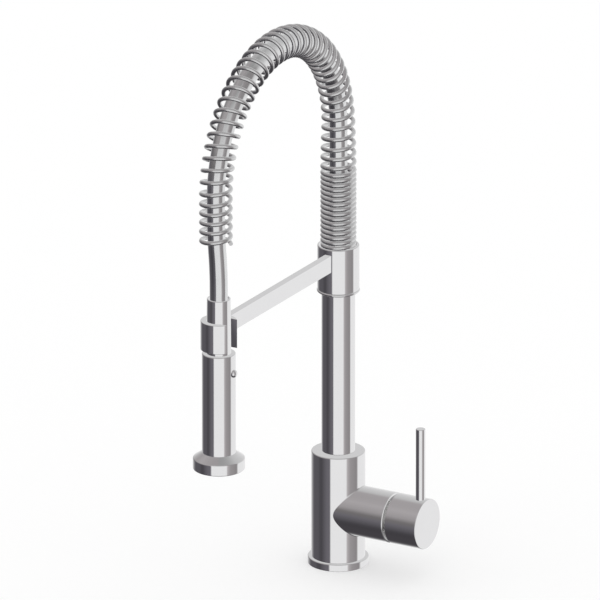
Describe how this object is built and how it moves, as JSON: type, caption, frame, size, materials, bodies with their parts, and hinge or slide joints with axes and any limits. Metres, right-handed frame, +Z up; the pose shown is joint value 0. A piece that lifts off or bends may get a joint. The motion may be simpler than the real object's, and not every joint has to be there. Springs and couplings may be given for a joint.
{
  "type": "kitchen faucet",
  "caption": "Single lever kitchen faucet with a swivelling pillar, a spring-wound hose arch, an arm with an open docking ring and a pull-down spray with a push button.",
  "frame": {"origin": "centre of the base on the worktop, at the mouth of the fixing stud's hole", "axes": "+Z up along the pillar, -Y towards the spray, +X towards the lever"},
  "size_m": [0.1108, 0.2451, 0.5002],
  "materials": {
    "chrome": "polished chrome",
    "spring_wire": "bright drawn steel wire",
    "steel": "plain stainless steel",
    "brass": "machined brass",
    "rubber": "black moulded rubber",
    "hose_skin": "smooth silver sheath",
    "ceramic": "lapped white ceramic",
    "plastic": "moulded white plastic",
    "face_plastic": "dark grey moulded plastic"
  },
  "bodies": {
    "base": {"base_gasket": "rubber", "base_flange": "chrome", "inlet_block": "brass", "mixer_body": "chrome", "port_seals": "rubber", "cartridge_foot": "plastic", "fixed_disc": "ceramic", "cartridge_housing": "plastic", "cartridge_nut": "brass", "trim_dome": "chrome", "swivel_glide_ring": "plastic", "swivel_stop_screw": "steel"},
    "cartridge_turn": {"cartridge_rotor": "plastic", "stem_pivot_pin": "steel"},
    "mixing_disc": {"moving_disc": "ceramic", "disc_carrier": "plastic"},
    "handle": {"cartridge_stem": "brass", "handle_cap": "chrome", "lever_pin": "chrome", "handle_grub_screw": "steel"},
    "spout": {"pillar_foot": "brass", "foot_seals": "rubber", "pillar_tube": "chrome", "pillar_head": "brass", "arm_collar": "chrome", "collar_ring": "chrome", "collar_set_screw": "steel", "arm": "chrome", "dock_ring": "chrome", "hose": "hose_skin", "hose_ferrule": "brass", "spring": "spring_wire"},
    "hose_end": {"hose_cone": "brass", "cone_seal": "rubber"},
    "spray": {"spray_neck": "chrome", "check_valve": "plastic", "spray_body": "chrome", "spray_bell": "chrome", "nozzle_plate": "face_plastic", "spray_nozzles": "rubber", "aerator": "face_plastic", "button_spring": "steel"},
    "spray_button": {"button": "chrome", "diverter_spool": "plastic"}
  },
  "joints": [
    {"name": "temperature", "type": "hinge", "parent": "base", "child": "cartridge_turn", "pos_m": [0, 0, 0.0488], "axis": [1, 0, 0], "range_deg": [-45, 45]},
    {"name": "flow", "type": "hinge", "parent": "cartridge_turn", "child": "handle", "pos_m": [0.0663, 0, 0.0488], "axis": [0, 1, 0], "range_deg": [0, 20]},
    {"name": "disc_slide", "type": "slide", "parent": "cartridge_turn", "child": "mixing_disc", "axis": [0, 0, 1], "range_m": [0, 0.0101]},
    {"name": "spout_swivel", "type": "hinge", "parent": "base", "child": "spout", "pos_m": [0, 0, 0.099], "axis": [0, 0, 1], "continuous": true},
    {"name": "spray_pull", "type": "slide", "parent": "spout", "child": "hose_end", "axis": [0, 0, -1], "range_m": [0, 0.06], "stiffness_N_per_m": 80, "springref_m": -0.15, "deforming": ["hose", "spring"]},
    {"name": "spray_turn", "type": "hinge", "parent": "hose_end", "child": "spray", "pos_m": [0, -0.198, 0.2], "axis": [0, 0, 1], "continuous": true},
    {"name": "button_press", "type": "slide", "parent": "spray", "child": "spray_button", "axis": [-1, 0, 0], "range_m": [0, 0.0015], "stiffness_N_per_m": 600, "springref_m": -0.003, "deforming": ["button_spring"]}
  ],
  "couplings": [
    {"joint": "disc_slide", "follows": "flow", "m_per_rad": 0.028853}
  ]
}
